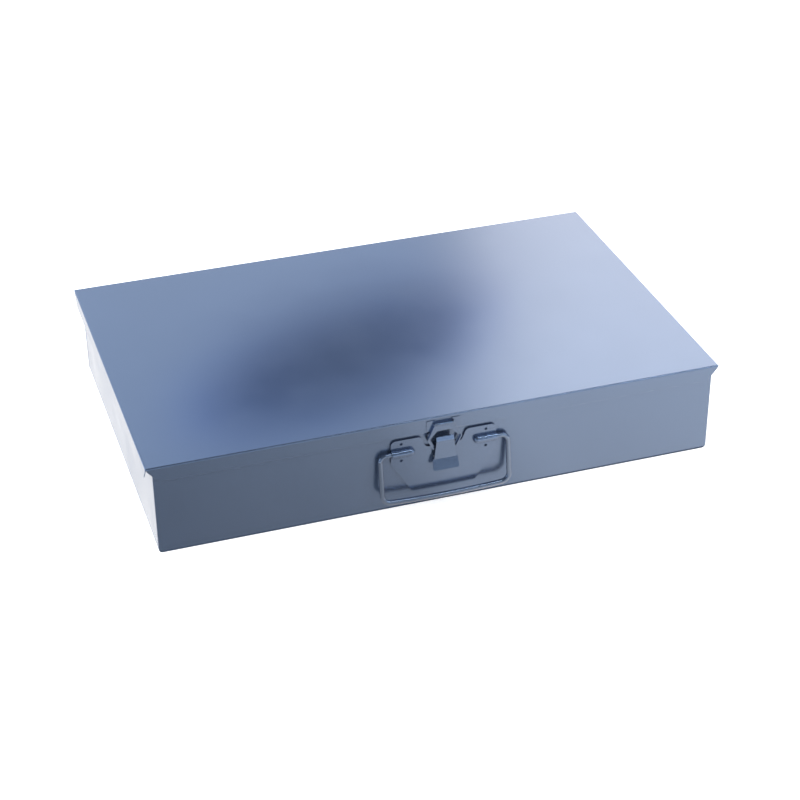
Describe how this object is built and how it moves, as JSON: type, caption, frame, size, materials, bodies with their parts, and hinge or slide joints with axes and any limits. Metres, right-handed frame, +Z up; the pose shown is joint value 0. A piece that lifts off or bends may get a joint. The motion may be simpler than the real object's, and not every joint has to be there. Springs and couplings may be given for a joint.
{
  "type": "steel compartment box",
  "caption": "Flat sheet-steel case with an overhanging hinged lid, a snap hasp and a wire bail on the front, and fixed dividers inside.",
  "frame": {"origin": "centre of the bottom face, on the surface that the box rests on", "axes": "+X to the right along the front, +Y to the back, +Z up; the front with the handle faces -Y"},
  "size_m": [0.4572, 0.2996, 0.0762],
  "materials": {
    "shell_paint": "semi-gloss blue-grey enamel",
    "divider_paint": "semi-gloss blue-grey enamel",
    "fitting_paint": "semi-gloss blue-grey enamel",
    "wire_paint": "semi-gloss blue-grey enamel on wire",
    "pin_steel": "plain drawn steel",
    "spring_steel": "tempered spring steel"
  },
  "bodies": {
    "box": {"body_wrap": "shell_paint", "front_wall": "shell_paint", "back_wall": "shell_paint", "long_divider_front": "divider_paint", "long_divider_rear": "divider_paint", "cross_divider_front_left": "divider_paint", "cross_divider_front_centre": "divider_paint", "cross_divider_front_right": "divider_paint", "cross_divider_middle_left": "divider_paint", "cross_divider_middle_centre": "divider_paint", "cross_divider_middle_right": "divider_paint", "cross_divider_rear_left": "divider_paint", "cross_divider_rear_centre": "divider_paint", "cross_divider_rear_right": "divider_paint", "weld_tacks": "shell_paint", "handle_plate": "fitting_paint", "catch_spring": "spring_steel", "hinge_leaf_body": "fitting_paint", "hinge_pin": "pin_steel"},
    "lid": {"lid": "shell_paint", "hinge_leaf_lid": "fitting_paint", "hasp_bracket": "fitting_paint", "hasp_pin": "fitting_paint"},
    "hasp_loop": {"hasp_loop": "fitting_paint"},
    "catch_tongue": {"catch_tongue": "fitting_paint", "catch_pin": "pin_steel"},
    "bail_handle": {"bail_handle": "wire_paint"}
  },
  "joints": [
    {"name": "lid_hinge", "type": "hinge", "parent": "box", "child": "lid", "pos_m": [0, 0.14385, 0.0603], "axis": [-1, 0, 0], "range_deg": [0, 150]},
    {"name": "bail_swing", "type": "hinge", "parent": "box", "child": "bail_handle", "pos_m": [0, -0.1448, 0.0502], "axis": [-1, 0, 0], "range_deg": [-7, 165]},
    {"name": "tongue_flex", "type": "hinge", "parent": "box", "child": "catch_tongue", "pos_m": [0, -0.14495, 0.0425], "axis": [1, 0, 0], "range_deg": [0, 6], "stiffness_Nm_per_rad": 2},
    {"name": "hasp_swing", "type": "hinge", "parent": "lid", "child": "hasp_loop", "pos_m": [0, -0.1454, 0.0704], "axis": [-1, 0, 0], "range_deg": [-1, 0.8]}
  ]
}
